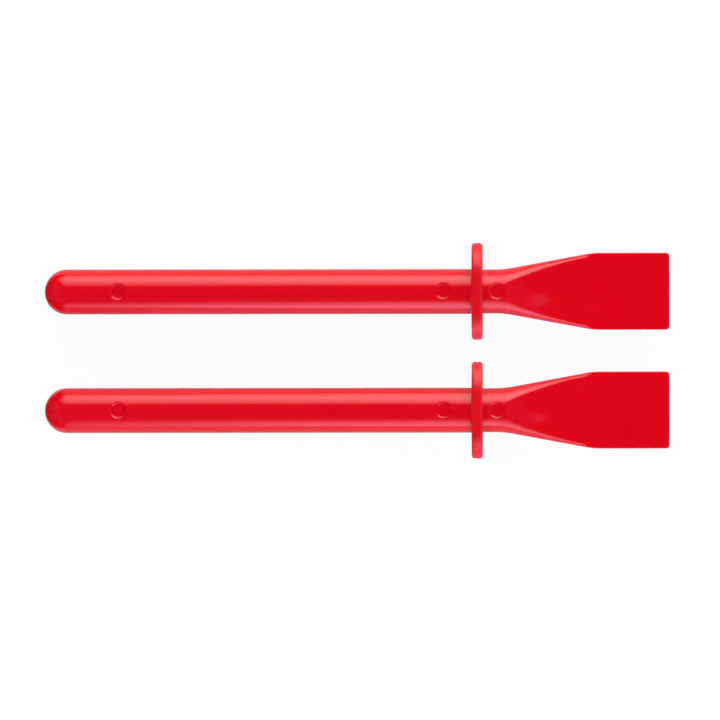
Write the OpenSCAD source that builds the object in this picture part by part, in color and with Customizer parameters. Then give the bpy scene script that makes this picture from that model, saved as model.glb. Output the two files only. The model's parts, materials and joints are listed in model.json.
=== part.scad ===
// Pair of moulded glue spreaders, lying side by side on a table.
// Each spreader is one plastic moulding: a round handle with a domed end, an oval stop collar,
// and a round neck that widens and thins into a flat blade.
// A spreader is drawn along +X from the domed end, then laid down until the dome and the collar
// both touch the table.

/* [Pair] */
// Clear gap between the two collars
pair_gap = 5; // [1:0.5:60]

/* [Handle] */
// Diameter of the handle
handle_d = 10; // [7:0.1:14]
// Length of the handle, from its domed end to the collar
handle_len = 95.75; // [50:0.25:150]

/* [Collar] */
// How far the collar stands out at each side of the handle
collar_side = 5.8; // [3:0.1:12]
// How far the collar stands out above and below the handle
collar_rise = 2.2; // [1:0.1:5]
// Thickness of the collar
collar_t = 2.4; // [1.5:0.1:5]
// Rounding of the collar's rim
collar_round = 0.6; // [0.1:0.05:0.7]

/* [Neck and flare] */
// Diameter of the neck between the collar and the flare
neck_d = 9.8; // [7:0.1:13]
// Length of the neck, from the collar to where the sides turn out and the ramps turn in
neck_len = 4.8; // [4:0.1:15]
// Length of the flare, over which the sides run straight out to the blade
flare_len = 20; // [14:0.5:40]
// Length of the curve where the sides leave the neck
flare_blend = 4.2; // [1:0.1:6]
// Length of the curve where the sides meet the blade
shoulder_blend = 3.5; // [1:0.1:6]
// Length of the hollow ramps that thin the neck down to the blade
ramp_len = 19; // [12:0.5:26]
// Angle of the crease where each ramp cuts the round sides
ramp_crease = 20; // [0:1:30]
// Length over which the round sides of the flare sharpen into the blade's edges
edge_fade = 2; // [2:0.5:10]

/* [Blade] */
// Width of the blade
blade_w = 17.2; // [14:0.1:30]
// Length of the blade, from the end of the flare to the tip
blade_len = 17.05; // [12:0.05:40]
// Thickness of the blade where the ramps end
blade_root_t = 2.2; // [1.2:0.1:3]
// Thickness of the blade at its tip
blade_tip_t = 1; // [0.6:0.1:2]
// Rounding of the blade's long edges
edge_round = 0.2; // [0.05:0.05:0.3]
// Radius of the two corners at the tip
corner_r = 0.8; // [0.2:0.1:4]

/* [Ejector marks] */
// Diameter of the round marks that the ejector pins leave
mark_d = 3.4; // [2:0.1:5]
// Depth of each mark below the crest of the handle or neck
mark_depth = 0.6; // [0.3:0.05:1]
// Distance from the domed end to the first mark
mark_from_end = 16.6; // [8:0.1:30]
// Distance from the second mark to the back of the collar
mark_behind_collar = 6.3; // [3:0.1:20]
// Distance from the front of the collar to the third mark
mark_before_collar = 3.3; // [2.5:0.1:4]

/* [Hidden] */

plastic_red = [0.87, 0.05, 0.1];
$fn = 96;
// Points on each round side of a cross-section of the neck and blade, above and below its middle
side_points = 12;
// Least half width of the flat above and below a cross-section
least_flat = 0.05;
// Cross-sections along each blend, along the flare and round each corner of the tip
blend_steps = 4;
flare_steps = 26;
corner_steps = 4;
// The flare's cross-sections crowd towards its start, where the ramps cut in
flare_crowding = 1.4;

handle_r = handle_d / 2;
neck_r = neck_d / 2;

// Stations along the spreader, from the domed end
collar_back = handle_len;
collar_front = collar_back + collar_t;
flare_from = collar_front + neck_len;
flare_to = flare_from + flare_len;
ramp_to = flare_from + ramp_len;
tip = flare_to + blade_len;
// The handle and the blade each end inside the collar, a third of the way from its faces
handle_end = collar_back + collar_t / 3;
blade_from = collar_front - collar_t / 3;

// The collar is a straight-sided oval whose round ends are as tall as the collar
collar_end_r = handle_r + collar_rise;
collar_half_w = handle_r + collar_side;
collar_straight = collar_half_w - collar_end_r;
pair_pitch = 2 * collar_half_w + pair_gap;

// Each side of the flare runs out at this slope
side_slope = (blade_w - neck_d) / 2 / flare_len;
// Each ramp is an arc that ends level with the blade
ramp_drop = neck_r - blade_root_t / 2;
ramp_r = (ramp_len ^ 2 + ramp_drop ^ 2) / (2 * ramp_drop);

// Lying on the table: the tilt at which the dome and the collar's rim are equally low
rim_down = collar_end_r - collar_round;
rim_along = collar_back + collar_round - handle_r;
dome_over_rim = handle_r - collar_round;
lay_angle = acos(dome_over_rim / norm([rim_down, rim_along])) - atan2(rim_along, rim_down);
lay_z = handle_r - handle_r * sin(lay_angle);
// Ends of the lying spreader along X, to centre the pair
dome_x = handle_r * cos(lay_angle) - handle_r;
tip_x = tip * cos(lay_angle) + blade_tip_t / 2 * sin(lay_angle);
lay_x = -(dome_x + tip_x) / 2;

// Stations of the cross-sections of the neck and blade
flare_end = max(ramp_to, flare_to + shoulder_blend / 2);
stations = concat(
    [blade_from],
    [for (i = [0 : blend_steps - 1]) flare_from - flare_blend / 2 * (1 - i / blend_steps)],
    [for (i = [0 : flare_steps]) flare_from + (flare_end - flare_from) * (i / flare_steps) ^ flare_crowding],
    [for (i = [0 : corner_steps]) tip - corner_r * (1 - sin(90 * i / corner_steps))]
);

// A straight rise from zero at d = 0, with its corner rounded over the given span
function rounded_rise(d, span) =
    d <= -span / 2 ? 0 : d >= span / 2 ? d : (d + span / 2) ^ 2 / (2 * span);

// A smooth step from 0 to 1 as t goes from 0 to 1
function smooth_step(t) = let (u = max(0, min(1, t))) u * u * (3 - 2 * u);

// How far the tip's rounded corners draw the sides in
function corner_cut(x) =
    let (past = max(0, x - tip + corner_r)) corner_r - sqrt(corner_r ^ 2 - min(past, corner_r) ^ 2);

function half_width(x) =
    neck_r - corner_cut(x)
    + side_slope * (rounded_rise(x - flare_from, flare_blend) - rounded_rise(x - flare_to, shoulder_blend));

function blade_half(x) =
    let (t = max(0, (x - ramp_to) / (tip - ramp_to))) (blade_root_t + (blade_tip_t - blade_root_t) * t) / 2;

function half_thickness(x) =
    let (back = min(ramp_len, max(0, ramp_to - x))) blade_half(x) + ramp_r - sqrt(ramp_r ^ 2 - back ^ 2);

function side_round(x) =
    let (
        full = min(neck_r, half_thickness(x) / cos(ramp_crease)),
        t = smooth_step((x - flare_to + edge_fade) / edge_fade)
    )
    full + (min(edge_round, full) - full) * t;

// Cross-section at x: flat above and below, with round sides of the radius that side_round gives.
// A radius over half the thickness is cut short by the flats, at the crease.
function section(x) =
    let (
        w = half_width(x), h = half_thickness(x), r = min(w - least_flat, side_round(x)),
        wall = max(0, h - r), turn = asin(min(1, h / r))
    )
    [for (up = [1, -1], side = [up, -up], i = [0 : side_points - 1])
        let (a = turn * ((side == up ? i : side_points - 1 - i) + 0.5) / (side_points - 0.5))
        [x, side * (w - r + r * cos(a)), up * (wall + r * sin(a))]];

// Skin over the cross-sections at the given stations, closed at both ends
module loft(xs) {
    n = 4 * side_points;
    last = (len(xs) - 1) * n;
    points = [for (x = xs) each section(x)];
    skin = [for (k = [0 : n : last - n], i = [0 : n - 1])
        let (j = (i + 1) % n)
        each [[k + i, k + n + i, k + j], [k + j, k + n + i, k + n + j]]];
    start_cap = [[for (i = [0 : n - 1]) i]];
    end_cap = [[for (i = [n - 1 : -1 : 0]) last + i]];
    polyhedron(points, concat(skin, start_cap, end_cap));
}

// Round bar with a domed end, from the dome to inside the collar
module handle() {
    rotate([0, 90, 0]) rotate_extrude() {
        intersection() {
            translate([0, handle_r]) circle(handle_r);
            square([handle_r, handle_r]);
        }
        translate([0, handle_r]) square([handle_r, handle_end - handle_r]);
    }
}

// Half of the collar's section, from its middle out to the rounded rim
module collar_section() {
    square([collar_end_r - collar_round, collar_t]);
    translate([0, collar_round]) square([collar_end_r, collar_t - 2 * collar_round]);
    for (x = [collar_round, collar_t - collar_round])
        translate([collar_end_r - collar_round, x]) circle(collar_round);
}

// Straight-sided oval plate: one section, run straight across and turned round both ends
module collar() {
    translate([collar_back, 0, 0]) rotate([0, 90, 0]) {
        for (side = [0, 1]) mirror([0, side, 0]) {
            translate([0, collar_straight, 0]) rotate_extrude(angle = 180) collar_section();
        }
        translate([0, collar_straight, 0]) rotate([90, 0, 0]) linear_extrude(2 * collar_straight) {
            collar_section();
            mirror([1, 0, 0]) collar_section();
        }
    }
}

// Round neck that flares at the sides and ramps down above and below to a flat blade
module neck_and_blade() {
    loft(stations);
}

// Flat-bottomed marks of the ejector pins, on the crest of the handle and of the neck
module ejector_marks() {
    marks = [
        [mark_from_end, handle_r],
        [collar_back - mark_behind_collar, handle_r],
        [collar_front + mark_before_collar, neck_r]
    ];
    for (m = marks)
        translate([m[0], 0, m[1] - mark_depth]) cylinder(d = mark_d, h = 2 * mark_depth);
}

module spreader() {
    difference() {
        union() {
            handle();
            collar();
            neck_and_blade();
        }
        ejector_marks();
    }
}

// A spreader lying on the table, with its centre line over the given y
module lying_spreader(y) {
    translate([lay_x, y, lay_z]) rotate([0, -lay_angle, 0]) spreader();
}

module rear_spreader() {
    color(plastic_red) lying_spreader(pair_pitch / 2);
}

module front_spreader() {
    color(plastic_red) lying_spreader(-pair_pitch / 2);
}

rear_spreader();
front_spreader();
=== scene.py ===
"""Looks for a pair of moulded glue spreaders: fine meshes, red plastic, floor, lights and camera.

A spreader is worked out in millimetres along its own +X, from the domed end to the blade's tip, and is
then put where the frame's handle mount says.
"""

import json
import math

import bpy
import numpy as np
from mathutils import Matrix, Vector


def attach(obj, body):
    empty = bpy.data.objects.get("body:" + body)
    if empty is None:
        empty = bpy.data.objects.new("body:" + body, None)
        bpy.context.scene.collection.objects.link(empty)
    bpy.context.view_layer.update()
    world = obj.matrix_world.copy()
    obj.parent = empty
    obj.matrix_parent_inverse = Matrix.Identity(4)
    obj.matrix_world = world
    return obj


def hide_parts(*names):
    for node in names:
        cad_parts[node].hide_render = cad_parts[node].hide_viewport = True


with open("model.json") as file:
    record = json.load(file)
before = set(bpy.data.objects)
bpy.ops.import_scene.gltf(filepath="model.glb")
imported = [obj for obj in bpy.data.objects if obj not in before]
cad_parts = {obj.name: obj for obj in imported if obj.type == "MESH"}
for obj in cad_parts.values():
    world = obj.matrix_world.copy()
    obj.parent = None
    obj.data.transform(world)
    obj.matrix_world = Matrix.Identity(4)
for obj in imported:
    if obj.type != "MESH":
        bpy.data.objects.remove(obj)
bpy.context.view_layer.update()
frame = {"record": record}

MM = 0.001

# Sizes of a spreader, in millimetres
HANDLE_R = 5.0
HANDLE_LEN = 95.75
COLLAR_HALF_W = 10.8
COLLAR_END_R = 7.2
COLLAR_T = 2.4
COLLAR_ROUND = 0.6
NECK_R = 4.9
NECK_LEN = 4.8
FLARE_LEN = 20.0
FLARE_BLEND = 4.2
SHOULDER_BLEND = 3.5
RAMP_LEN = 19.0
RAMP_CREASE = math.radians(20)
EDGE_FADE = 2.0
BLADE_HALF_W = 8.6
BLADE_LEN = 17.05
BLADE_ROOT_HALF_T = 1.1
BLADE_TIP_HALF_T = 0.5
EDGE_ROUND = 0.2
CORNER_R = 0.8
MARK_R = 1.7
MARK_DEPTH = 0.6
MARK_FROM_END = 16.6
MARK_BEHIND_COLLAR = 6.3
MARK_BEFORE_COLLAR = 3.3

# Fine moulding detail, in millimetres
ROOT_FILLET = 0.15
NOSE_BLEND = 2.4
SEAM_HEIGHT = 0.025
MARK_LIPS = (0.6, 0.7, 0.55)
SINK_DEPTH = 0.2
SINK_HALF_LEN = 4.6
SINK_HALF_W = 2.4
SINK_FROM_NECK = 7.2

# Stations along a spreader
COLLAR_BACK = HANDLE_LEN
COLLAR_FRONT = COLLAR_BACK + COLLAR_T
FLARE_FROM = COLLAR_FRONT + NECK_LEN
FLARE_TO = FLARE_FROM + FLARE_LEN
RAMP_TO = FLARE_FROM + RAMP_LEN
TIP = FLARE_TO + BLADE_LEN
# Ejector marks: station, height of the crest and width of the lip
MARKS = (
    (MARK_FROM_END, HANDLE_R, MARK_LIPS[0]),
    (COLLAR_BACK - MARK_BEHIND_COLLAR, HANDLE_R, MARK_LIPS[1]),
    (COLLAR_FRONT + MARK_BEFORE_COLLAR, NECK_R, MARK_LIPS[2]),
)
SINK_AT = FLARE_FROM + SINK_FROM_NECK

# Mesh density: points on a quarter of each ring, in all, on its flat and on its wall
QUARTER = 60
FLAT_POINTS = 22
WALL_POINTS = 6
# Shares of a round section's half width and half height that take the flat's and the wall's points
CROWN_SHARE = 0.42
WALL_SHARE = 0.1
# Ring spacings, in millimetres
PLAIN_STEP = 1.5
FLARE_STEP = 0.3
# Closer rings: at the marks, to a reach past their edges, and over the first length of the ramps
FINE_STEP = 0.12
MARK_REACH = 0.8
NOSE_STEP = 0.06
NOSE_LEN = 1.0
# Ring counts over a fillet or the rim's rounding, over the tip's corners and over the dome
ARC_RINGS = 6
CORNER_RINGS = 12
DOME_RINGS = 24
# Where the rings of a collar's face lie, from its root to its rim
FACE_SHARES = (0.02, 0.2, 0.4, 0.6, 0.8, 0.95, 0.99)

# Plastic: tone and roughness, each between two (noise level, value) pairs, and what the matt rim adds
PLASTIC_TONES = ((0.3, (0.70, 0.0008, 0.0062)), (0.7, (0.74, 0.0012, 0.0074)))
GLOSS = ((0.3, 0.11), (0.7, 0.15))
RIM_MATT = 0.26
# Noise of the plastic: scale, detail and roughness; the flow is drawn out along the spreader
FLOW_NOISE = (420, 4, 0.55)
FLOW_STRETCH = (0.12, 1, 1)
CLOUD_NOISE = (60, 2, 0.5)
PEEL_NOISE = (900, 3, 0.6)
BUMP_STRENGTH = 0.012
BUMP_HEIGHT = 0.0001
PLASTIC_IOR = 1.49
SUBSURFACE_WEIGHT = 0.2
SUBSURFACE_RADIUS = (1, 0.05, 0.08)
SUBSURFACE_SCALE = 0.002

WHITE = (1, 1, 1)

# Floor, in metres: shares of white that the camera and reflections see, and a strength of white that makes
# up for the share left to the shadow
FLOOR_HALF = 12.0
FLOOR_WHITE_SHARE = 0.92
FLOOR_MIRRORED_SHARE = 0.116
FLOOR_GLEAM = 1.038
FLOOR_PALE = (0.55, 0.55, 0.55)

# Softboxes, in metres: place, (height, strength) steps, and the X over which they fade in
KEY_Y = 0.6
KEY_X = (-0.8, 0.9)
KEY_FADE = (-0.68, 0.2)
KEY_COLOUR = (1, 1, 1.04)
KEY_STEPS = ((0.0, 2.4), (0.24, 4.4), (0.9, 1.15), (1.0, 0.0))
SIDE_Y = -0.6
SIDE_X = (-0.2, 0.12)
SIDE_FADE = (-0.17, 0.02)
SIDE_COLOUR = (1.8, 1, 1.45)
SIDE_STEPS = ((0.08, 2.25), (0.16, 2.4), (0.48, 0.5), (0.6, 0.05))
# The side softbox is pink, as the photo's lower bands are; the front one carries it on in white
FRONT_X = (0.12, 0.9)
END_X = 1.2
END_Y = (-0.5, 0.5)
END_STEPS = ((0.0, 0.7), (0.3, 0.7), (0.4, 0.0))

# Fill lamps: name, place in metres and watts
FILL_SIZE = 1.0
FILL_LAMPS = (
    ("fill_left", (-0.6, 0, 0.4), 2.9),
    ("fill_near", (0, -1.1, 0.45), 8.2),
    ("fill_far", (0, 1.1, 0.45), 3.4),
)

# Cards that only reflections see, in metres: dark ones beyond the domes and overhead, which paint dark
# reflections there, a painted shade
FLOOR_CARD = ((-1.5, -1.5), (-0.074, -1.5), (-0.074, 1.5), (-1.5, 1.5))
FLOOR_CARD_Z = 0.0001
TOP_CARD = ((0.0, -0.35), (1.15, -0.35), (0.2, 0.35), (0.0, 0.35))
TOP_CARD_Z = 1.2
CARD_GLOW = 0.03
# A faint glowing one under the overhead card, which is no lamp and paints the reflected light spot on the
# ramps; it fades out towards +X
PAINTED_SPOT_CORNERS = ((0.4, 0.13), (0.95, 0.08), (0.95, 0.15), (0.4, 0.28))
PAINTED_SPOT_Z = 1.19
PAINTED_SPOT_STEPS = ((0.0, 0.9), (1.0, 0.9))
PAINTED_SPOT_FADE = (1.1, 0.35)
# Dividers, in millimetres: glowing cards between the spreaders that paint the reflected light each one
# would see past its twin; their ends along X, distance from the middle, and heights of the horizon and the
# top
DIVIDERS = (
    ("long", (-80, 50), 0.4, (8.6, 9.8), 12.5),
    ("collar", (25.4, 28.5), 0.8, (11.4, 12.2), 14.5),
)
# The X over which they fade in, in metres, and the painted glow of the floor's reflection at their foot
# and at the horizon
DIVIDER_END = (-0.0705, -0.0655)
REAR_DIVIDER_FADE = (-0.13, -0.005)
PAINTED_FLOOR_GLOW = (0.35, 0.65)

# World: (upward share of the direction, strength) steps
WORLD_COLOUR = (0.5, 0.5, 1.0)
WORLD_STEPS = ((0.0, 0.06), (0.3, 0.26), (0.57, 0.4), (0.75, 0.2), (0.9, 0.12), (1.0, 0.12))

# Camera's view, in millimetres at the height of the handles' centre lines, with its roll in radians
CAMERA_AWAY = 2900
VIEW_HALF = 80.66
VIEW_X = 0.68
VIEW_Y = -2.03
VIEW_ROLL = -0.0012
AXIS_Z = 6.5
SENSOR = 36
# The furthest thing drawn, in camera distances
CLIP_DISTANCES = 4


def rounded_rise(d, span):
    """A straight rise from zero at d = 0, with its corner rounded over the given span."""
    half = span / 2
    return np.where(d <= -half, 0, np.where(d >= half, d, (d + half) ** 2 / (2 * span)))


def smooth_step(t):
    """A smooth step from 0 to 1 as t goes from 0 to 1."""
    u = np.clip(t, 0, 1)
    return u * u * (3 - 2 * u)


def half_width(x):
    """Half the width of the neck, flare and blade at x."""
    slope = (BLADE_HALF_W - NECK_R) / FLARE_LEN
    rise = rounded_rise(x - FLARE_FROM, FLARE_BLEND) - rounded_rise(x - FLARE_TO, SHOULDER_BLEND)
    past = np.clip(x - TIP + CORNER_R, 0, CORNER_R)
    return NECK_R + slope * rise - (CORNER_R - np.sqrt(CORNER_R**2 - past**2))


def half_thickness(x):
    """Half the thickness of the neck, ramps and blade at x, with the tip's edges rounded."""
    drop = NECK_R - BLADE_ROOT_HALF_T
    radius = (RAMP_LEN**2 + drop**2) / (2 * drop)
    back = np.clip(RAMP_TO - x, 0, RAMP_LEN)
    ramp = radius - np.sqrt(radius**2 - back**2)
    # the ramp's start is rounded over
    start_slope = RAMP_LEN / math.sqrt(radius**2 - RAMP_LEN**2)
    into_ramp = x - FLARE_FROM
    ramp = ramp - start_slope * (rounded_rise(into_ramp, NOSE_BLEND) - np.maximum(into_ramp, 0))
    t = np.clip((x - RAMP_TO) / (TIP - RAMP_TO), 0, 1)
    blade = BLADE_ROOT_HALF_T + (BLADE_TIP_HALF_T - BLADE_ROOT_HALF_T) * t
    past = np.clip(x - TIP + EDGE_ROUND, 0, EDGE_ROUND)
    return blade + ramp - (EDGE_ROUND - np.sqrt(EDGE_ROUND**2 - past**2))


def side_round(x):
    """Radius of the section's corners at x: full at the flare, small on the blade."""
    full = np.minimum(NECK_R, half_thickness(x) / math.cos(RAMP_CREASE))
    t = smooth_step((x - FLARE_TO + EDGE_FADE) / EDGE_FADE)
    return full + (np.minimum(EDGE_ROUND, full) - full) * t


def arc(count):
    """Angles of a quarter turn, both ends included."""
    return np.linspace(0, math.pi / 2, count + 1)


def spaced(start, end, step):
    """Stations from start to just before end, about a step apart."""
    count = max(1, round((end - start) / step))
    return list(np.linspace(start, end, count, endpoint=False))


def around_marks(start, end, step):
    """Stations from start to just before end, close together at the ejector marks."""
    reach = MARK_R + MARK_REACH
    stops = [start]
    for at, _, _ in MARKS:
        if start < at < end:
            stops += [max(start, at - reach), min(end, at + reach)]
    stops.append(end)
    stations = []
    for i, (a, b) in enumerate(zip(stops, stops[1:])):
        if b > a:
            stations += spaced(a, b, FINE_STEP if i % 2 else step)
    return stations


def handle_rings():
    """Rings (x, half width, half height, corner radius) from the dome to the collar's root."""
    rings = []
    for a in arc(DOME_RINGS)[1:-1]:
        r = HANDLE_R * math.sin(a)
        rings.append((HANDLE_R - HANDLE_R * math.cos(a), r, r, r))
    for x in around_marks(HANDLE_R, COLLAR_BACK - ROOT_FILLET, PLAIN_STEP):
        rings.append((x, HANDLE_R, HANDLE_R, HANDLE_R))
    return rings


def rim_ring(x, inset):
    """Ring at the collar's rim, drawn in by the inset."""
    return (x, COLLAR_HALF_W - inset, COLLAR_END_R - inset, COLLAR_END_R - inset)


def face_rings(x, hub_r):
    """Rings on a flat face of the collar, from its root fillet out to the rim's rounding."""
    root = np.array([hub_r + ROOT_FILLET] * 3)
    rim = np.array(rim_ring(x, COLLAR_ROUND)[1:])
    return [(x, *(root + (rim - root) * s)) for s in FACE_SHARES]


def collar_rings():
    """Rings over the collar: root fillet, back face, rounded rim, front face, root fillet."""
    rings = []
    for a in arc(ARC_RINGS):
        r = HANDLE_R + ROOT_FILLET * (1 - math.cos(a))
        rings.append((COLLAR_BACK - ROOT_FILLET * (1 - math.sin(a)), r, r, r))
    rings += face_rings(COLLAR_BACK, HANDLE_R)
    for a in arc(ARC_RINGS):
        inset = COLLAR_ROUND * (1 - math.sin(a))
        rings.append(rim_ring(COLLAR_BACK + COLLAR_ROUND * (1 - math.cos(a)), inset))
    for a in arc(ARC_RINGS):
        inset = COLLAR_ROUND * (1 - math.cos(a))
        rings.append(rim_ring(COLLAR_FRONT - COLLAR_ROUND * (1 - math.sin(a)), inset))
    rings += reversed(face_rings(COLLAR_FRONT, NECK_R))
    for a in arc(ARC_RINGS):
        r = NECK_R + ROOT_FILLET * (1 - math.sin(a))
        rings.append((COLLAR_FRONT + ROOT_FILLET * (1 - math.cos(a)), r, r, r))
    return rings


def blade_rings():
    """Rings from the neck to the tip."""
    neck_from = COLLAR_FRONT + ROOT_FILLET
    flare_end = max(RAMP_TO, FLARE_TO + SHOULDER_BLEND / 2)
    # the collar's last ring already lies where the neck starts
    xs = around_marks(neck_from, FLARE_FROM, FLARE_STEP)[1:]
    xs += spaced(FLARE_FROM, FLARE_FROM + NOSE_LEN, NOSE_STEP)
    xs += spaced(FLARE_FROM + NOSE_LEN, flare_end, FLARE_STEP)
    xs += spaced(flare_end, TIP - CORNER_R, PLAIN_STEP)
    xs += list(TIP - CORNER_R * (1 - np.sin(arc(CORNER_RINGS))))
    xs = np.array(xs)
    return list(zip(xs, half_width(xs), half_thickness(xs), side_round(xs)))


def quarter_outline(x, w, h, r):
    """Points (y, z) from the top's middle round to the side: a flat, a round side and a wall."""
    r = min(w, r)
    wall = max(0, h - r)
    centre = w - r
    flat = centre + math.sqrt(max(0, r**2 - (h - wall) ** 2))
    # while the section is round, the flat's points spread over its crown
    crown = CROWN_SHARE * w * np.clip(1 - (x - FLARE_FROM) / NOSE_LEN, 0, 1)
    y_end, z_end = max(flat, crown), max(wall, WALL_SHARE * h)
    a_start = math.asin((y_end - centre) / r)
    a_end = math.acos((z_end - wall) / r)
    a = np.linspace(a_start, a_end, QUARTER - FLAT_POINTS - WALL_POINTS + 1)
    y = np.concatenate([np.linspace(0, y_end, FLAT_POINTS, endpoint=False), centre + r * np.sin(a)])
    z = wall + np.sqrt(r**2 - np.clip(y - centre, 0, r) ** 2)
    z = np.minimum(z, h)
    low = np.linspace(z_end, 0, WALL_POINTS + 1)[1:]
    y_low = centre + np.sqrt(r**2 - np.clip(low - wall, 0, r) ** 2)
    return np.column_stack([np.append(y, y_low), np.append(z, low)])


def ring_points(x, w, h, r):
    """Points (x, y, z) of a whole ring, from the top's middle round by the +Y side."""
    quarter = quarter_outline(x, w, h, r)
    quarter[-1, 0] += SEAM_HEIGHT
    down = quarter[1:] * (1, -1)
    half = np.vstack([quarter[:-1], down[::-1]])
    yz = np.vstack([half, half * (-1, -1)])
    # the second half starts at the bottom's middle, which the first half leaves out
    return np.column_stack([np.full(len(yz), x), yz])


def press_marks(points):
    """Press the flat ejector marks, with soft lips, into the crest."""
    x, y, z = points.T
    for at, crest, lip in MARKS:
        # each lip is centred on the edge of its mark
        inside = 1 - smooth_step((np.hypot(x - at, y) - MARK_R) / lip + 0.5)
        floor = np.minimum(z, crest - MARK_DEPTH)
        z[:] = np.where(z > 0, z + (floor - z) * inside, z)


def sink_ramps(points):
    """Let the ramps sink a little where the plastic is thick, above and below."""
    x, y, z = points.T
    along = (x - SINK_AT) / SINK_HALF_LEN
    across = y / SINK_HALF_W
    z -= np.sign(z) * SINK_DEPTH * np.exp(-(along**2) - across**2)


def skin_faces(ring_count):
    """Quads between the rings, a fan at the dome's pole and a ladder over the tip."""
    n = 4 * QUARTER
    pole = ring_count * n
    faces = [(pole, i, (i + 1) % n) for i in range(n)]
    for k in range(0, (ring_count - 1) * n, n):
        for i in range(n):
            j = (i + 1) % n
            faces.append((k + i, k + n + i, k + n + j, k + j))
    last = (ring_count - 1) * n
    for i in range(-QUARTER, QUARTER):
        upper = last + i % n, last + (i + 1) % n
        lower = last + (2 * QUARTER - i) % n, last + (2 * QUARTER - i - 1) % n
        rung = [upper[0], lower[0], lower[1], upper[1]]
        faces.append(tuple(dict.fromkeys(rung)))
    return faces


def lying_place(name):
    """Matrix that puts a spreader where the frame's handle mount is."""
    mount = next(m for m in frame["record"]["mounts"] if m["name"] == name + "_handle")
    along = -Vector(mount["axis"]).normalized()
    across = Vector((0, 1, 0))
    up = along.cross(across)
    place = Matrix((along, across, up)).transposed().to_4x4()
    # the mount lies at the middle of the handle's straight part
    middle = (HANDLE_R + HANDLE_LEN) / 2 * MM
    place.translation = Vector(mount["pos_m"]) - along * middle
    return place @ Matrix.Scale(MM, 4)


def spreader_mesh(name):
    """Mesh of one spreader where it lies, with the share of matt finish on each point."""
    rings = handle_rings() + collar_rings() + blade_rings()
    points = np.vstack([ring_points(*ring) for ring in rings])
    press_marks(points)
    sink_ramps(points)
    points = np.vstack([points, (0, 0, 0)])
    mesh = bpy.data.meshes.new(name)
    mesh.from_pydata(points.tolist(), [], skin_faces(len(rings)))
    rim_w = rim_ring(COLLAR_BACK, COLLAR_ROUND)[1]
    on_rim = [float(w >= rim_w) for _, w, _, _ in rings]
    matt = mesh.attributes.new("matt", "FLOAT", "POINT")
    matt.data.foreach_set("value", np.append(np.repeat(on_rim, 4 * QUARTER), 0.0))
    mesh.transform(lying_place(name))
    mesh.shade_smooth()
    return mesh


class Nodes:
    """Shorthand for making and linking the nodes of one tree."""

    def __init__(self, owner):
        owner.use_nodes = True
        self.tree = owner.node_tree
        self.tree.nodes.clear()

    def node(self, kind, inputs, **settings):
        """Make a node and set its inputs by name or number."""
        node = self.tree.nodes.new(kind)
        for key, value in settings.items():
            setattr(node, key, value)
        for key, value in inputs.items():
            if isinstance(value, bpy.types.NodeSocket):
                self.tree.links.new(value, node.inputs[key])
            else:
                node.inputs[key].default_value = value
        return node

    def add(self, kind, inputs, **settings):
        """Make a node and return its first output."""
        return self.node(kind, inputs, **settings).outputs[0]

    def math(self, operation, *values):
        return self.add("ShaderNodeMath", dict(enumerate(values)), operation=operation)

    def noise(self, place, scale, detail, roughness):
        inputs = {"Vector": place, "Scale": scale, "Detail": detail, "Roughness": roughness}
        return self.add("ShaderNodeTexNoise", inputs)

    def bump(self, height, **inputs):
        """Normal raised by the height, over the Normal in the inputs if there is one."""
        inputs.update({"Strength": BUMP_STRENGTH, "Distance": BUMP_HEIGHT, "Height": height})
        return self.add("ShaderNodeBump", inputs)

    def span(self, value, start, end, kind="LINEAR"):
        """Map a value between two (place, level) pairs, level beyond them."""
        (a, low), (b, high) = start, end
        inputs = {"Value": value, "From Min": a, "From Max": b, "To Min": low, "To Max": high}
        return self.add("ShaderNodeMapRange", inputs, interpolation_type=kind)

    def steps(self, value, pairs):
        """Map a value by straight lines through the (place, level) pairs."""
        total = self.span(value, *pairs[:2])
        for (a, low), (b, high) in zip(pairs[1:], pairs[2:]):
            total = self.math("ADD", total, self.span(value, (a, 0), (b, high - low)))
        return total

    def end(self, kind, surface):
        self.node(kind, {"Surface": surface})


def red_plastic():
    """Glossy moulded plastic: faint flow streaks, uneven gloss and a fine orange peel; a matt rim."""
    material = bpy.data.materials.new("red_plastic")
    n = Nodes(material)
    place = n.node("ShaderNodeTexCoord", {}).outputs["Object"]
    along = n.add("ShaderNodeMapping", {"Vector": place, "Scale": FLOW_STRETCH})
    flow = n.noise(along, *FLOW_NOISE)
    cloud = n.noise(place, *CLOUD_NOISE)
    peel = n.noise(place, *PEEL_NOISE)

    tone = n.node("ShaderNodeValToRGB", {"Fac": cloud})
    for element, (at, colour) in zip(tone.color_ramp.elements, PLASTIC_TONES):
        element.position = at
        element.color = (*colour, 1)
    matt = n.node("ShaderNodeAttribute", {}, attribute_name="matt").outputs["Fac"]
    gloss = n.span(flow, *GLOSS)
    skin = n.bump(peel, Normal=n.bump(flow))
    shader = n.add(
        "ShaderNodeBsdfPrincipled",
        {
            "Base Color": tone.outputs[0],
            "Roughness": n.math("MULTIPLY_ADD", matt, RIM_MATT, gloss),
            "Normal": skin,
            "IOR": PLASTIC_IOR,
            "Subsurface Weight": SUBSURFACE_WEIGHT,
            "Subsurface Radius": SUBSURFACE_RADIUS,
            "Subsurface Scale": SUBSURFACE_SCALE,
        },
    )
    n.end("ShaderNodeOutputMaterial", shader)
    return material


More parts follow.
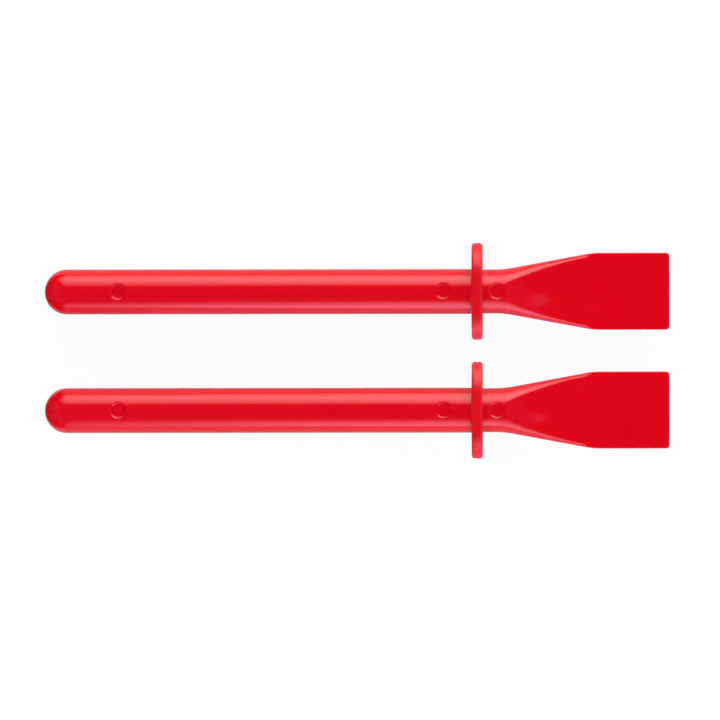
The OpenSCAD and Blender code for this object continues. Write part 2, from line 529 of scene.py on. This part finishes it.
def floor_white():
    """Pale floor, drawn white to the camera and partly to reflections, with the shadow kept faint."""
    material = bpy.data.materials.new("floor_white")
    n = Nodes(material)
    rays = n.node("ShaderNodeLightPath", {}).outputs
    seen = n.math("ADD", rays["Is Camera Ray"], rays["Is Transmission Ray"])
    share = n.math("MULTIPLY", seen, FLOOR_WHITE_SHARE)
    share = n.math("MULTIPLY_ADD", rays["Is Glossy Ray"], FLOOR_MIRRORED_SHARE, share)
    plain = n.add("ShaderNodeBsdfDiffuse", {"Color": (*FLOOR_PALE, 1)})
    white = n.add("ShaderNodeEmission", {"Color": (*WHITE, 1), "Strength": FLOOR_GLEAM})
    n.end("ShaderNodeOutputMaterial", n.add("ShaderNodeMixShader", {0: share, 1: plain, 2: white}))
    return material


def glow(name, colour, pairs, fades=()):
    """Light by height through the (height, strength) pairs, faded in along X over each (start, end)."""
    material = bpy.data.materials.new(name)
    n = Nodes(material)
    place = n.node("ShaderNodeNewGeometry", {}).outputs["Position"]
    axes = n.node("ShaderNodeSeparateXYZ", {"Vector": place}).outputs
    strength = n.steps(axes["Z"], pairs)
    for start, end in fades:
        strength = n.math("MULTIPLY", strength, n.span(axes["X"], (start, 0), (end, 1), "SMOOTHSTEP"))
    light = n.add("ShaderNodeEmission", {"Color": (*colour, 1), "Strength": strength})
    n.end("ShaderNodeOutputMaterial", light)
    return material


def flat(name, corners, material):
    """Flat stage piece through four corners, which throws no shadow."""
    mesh = bpy.data.meshes.new(name)
    mesh.from_pydata(corners, [], [(0, 1, 2, 3)])
    mesh.materials.append(material)
    obj = bpy.data.objects.new(name, mesh)
    obj.visible_shadow = False
    bpy.context.scene.collection.objects.link(obj)
    return obj


def upright(name, start, end, top, material):
    """Upright sheet from start to end on the floor, which the camera doesn't see."""
    obj = flat(name, [(*start, 0), (*end, 0), (*end, top), (*start, top)], material)
    obj.visible_camera = False
    return obj


def only_reflected(obj):
    """Hide a card from everything but reflections."""
    obj.visible_camera = False
    obj.visible_diffuse = False
    obj.visible_transmission = False


def fill_lamp(name, place, watts):
    """Soft lamp aimed at the pair that adds no highlight."""
    light = bpy.data.lights.new(name, "AREA")
    light.shape = "SQUARE"
    light.size = FILL_SIZE
    light.energy = watts
    light.cycles.use_multiple_importance_sampling = False
    lamp = bpy.data.objects.new(name, light)
    lamp.location = place
    lamp.rotation_euler = Vector(place).to_track_quat("Z", "Y").to_euler()
    lamp.visible_camera = False
    lamp.visible_glossy = False
    bpy.context.scene.collection.objects.link(lamp)


def make_spreaders():
    """One visual piece for each CAD node."""
    plastic = red_plastic()
    for name in ("rear", "front"):
        mesh = spreader_mesh(name)
        mesh.materials.append(plastic)
        piece = bpy.data.objects.new(name + "_moulding", mesh)
        bpy.context.scene.collection.objects.link(piece)
        piece.modifiers.new("weighted_normals", "WEIGHTED_NORMAL")
        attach(piece, "root")
        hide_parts(name + "_spreader")


def make_cards():
    """Cards that only reflections see, which paint reflections: painted shade beyond the domes and
    overhead, a painted light spot overhead, and painted softbox and floor light between the spreaders.
    """
    painted_dark = bpy.data.materials.new("card_painted_dark")
    n = Nodes(painted_dark)
    n.end("ShaderNodeOutputMaterial", n.add("ShaderNodeEmission", {"Strength": CARD_GLOW}))
    # these dark cards paint shade into the reflections of the domes' ends and of the upward faces
    for name, corners, z in (("floor_card", FLOOR_CARD, FLOOR_CARD_Z), ("top_card", TOP_CARD, TOP_CARD_Z)):
        only_reflected(flat(name, [(x, y, z) for x, y in corners], painted_dark))
    # a glowing card that is no lamp: it paints the light spot reflected on the ramps
    painted_spot_glow = glow("card_painted_spot", WORLD_COLOUR, PAINTED_SPOT_STEPS, (PAINTED_SPOT_FADE,))
    only_reflected(flat("painted_spot_card", [(x, y, PAINTED_SPOT_Z) for x, y in PAINTED_SPOT_CORNERS], painted_spot_glow))
    # each spreader sees painted light here, the softbox beyond its twin and the floor's glow, and not the
    # twin
    for name, (start, end), away, (low, high), top in DIVIDERS:
        for side, sign, colour, light, fades in (
            ("rear", 1, SIDE_COLOUR, SIDE_STEPS[0][1], (DIVIDER_END, REAR_DIVIDER_FADE)),
            ("front", -1, KEY_COLOUR, KEY_STEPS[0][1], (DIVIDER_END,)),
        ):
            pairs = ((0, PAINTED_FLOOR_GLOW[0]), (low * MM, PAINTED_FLOOR_GLOW[1]), (high * MM, light))
            card = side + "_divider_" + name
            material = glow(card, colour, pairs, fades)
            y = sign * away * MM
            only_reflected(upright(card, (start * MM, y), (end * MM, y), top * MM, material))


def make_stage():
    """Floor, softboxes, cards that paint reflections, and fill lamps."""
    r = FLOOR_HALF
    flat("floor", [(-r, -r, 0), (r, -r, 0), (r, r, 0), (-r, r, 0)], floor_white())
    for name, x, y, colour, pairs, fades in (
        ("key_softbox", KEY_X, (KEY_Y, KEY_Y), KEY_COLOUR, KEY_STEPS, (KEY_FADE,)),
        ("side_softbox", SIDE_X, (SIDE_Y, SIDE_Y), SIDE_COLOUR, SIDE_STEPS, (SIDE_FADE,)),
        ("front_softbox", FRONT_X, (SIDE_Y, SIDE_Y), WHITE, SIDE_STEPS, ()),
        ("end_softbox", (END_X, END_X), END_Y, WHITE, END_STEPS, ()),
    ):
        upright(name, (x[0], y[0]), (x[1], y[1]), pairs[-1][0], glow(name, colour, pairs, fades))
    make_cards()
    for name, place, watts in FILL_LAMPS:
        fill_lamp(name, place, watts)


def make_world():
    """Dim cool light by height, drawn white to the camera."""
    world = bpy.data.worlds.new("studio")
    n = Nodes(world)
    rays = n.node("ShaderNodeLightPath", {}).outputs
    way = n.node("ShaderNodeTexCoord", {}).outputs["Generated"]
    up = n.node("ShaderNodeSeparateXYZ", {"Vector": way}).outputs["Z"]
    strength = n.steps(up, WORLD_STEPS)
    dim = n.add("ShaderNodeBackground", {"Color": (*WORLD_COLOUR, 1), "Strength": strength})
    white = n.add("ShaderNodeBackground", {"Color": (*WHITE, 1), "Strength": 1})
    seen = n.math("ADD", rays["Is Camera Ray"], rays["Is Transmission Ray"])
    mixed = n.add("ShaderNodeMixShader", {0: seen, 1: dim, 2: white})
    n.end("ShaderNodeOutputWorld", mixed)
    bpy.context.scene.world = world


def make_camera():
    """Long lens that looks straight down, framed as the photo is."""
    camera = bpy.data.cameras.new("camera")
    camera.sensor_width = SENSOR
    camera.lens = SENSOR / 2 * CAMERA_AWAY / VIEW_HALF
    camera.clip_end = CLIP_DISTANCES * CAMERA_AWAY * MM
    obj = bpy.data.objects.new("camera", camera)
    obj.location = (VIEW_X * MM, VIEW_Y * MM, (CAMERA_AWAY + AXIS_Z) * MM)
    obj.rotation_euler = (0, 0, VIEW_ROLL)
    bpy.context.scene.collection.objects.link(obj)
    bpy.context.scene.camera = obj


make_spreaders()
make_stage()
make_world()
make_camera()
bpy.context.scene.view_settings.view_transform = "Standard"
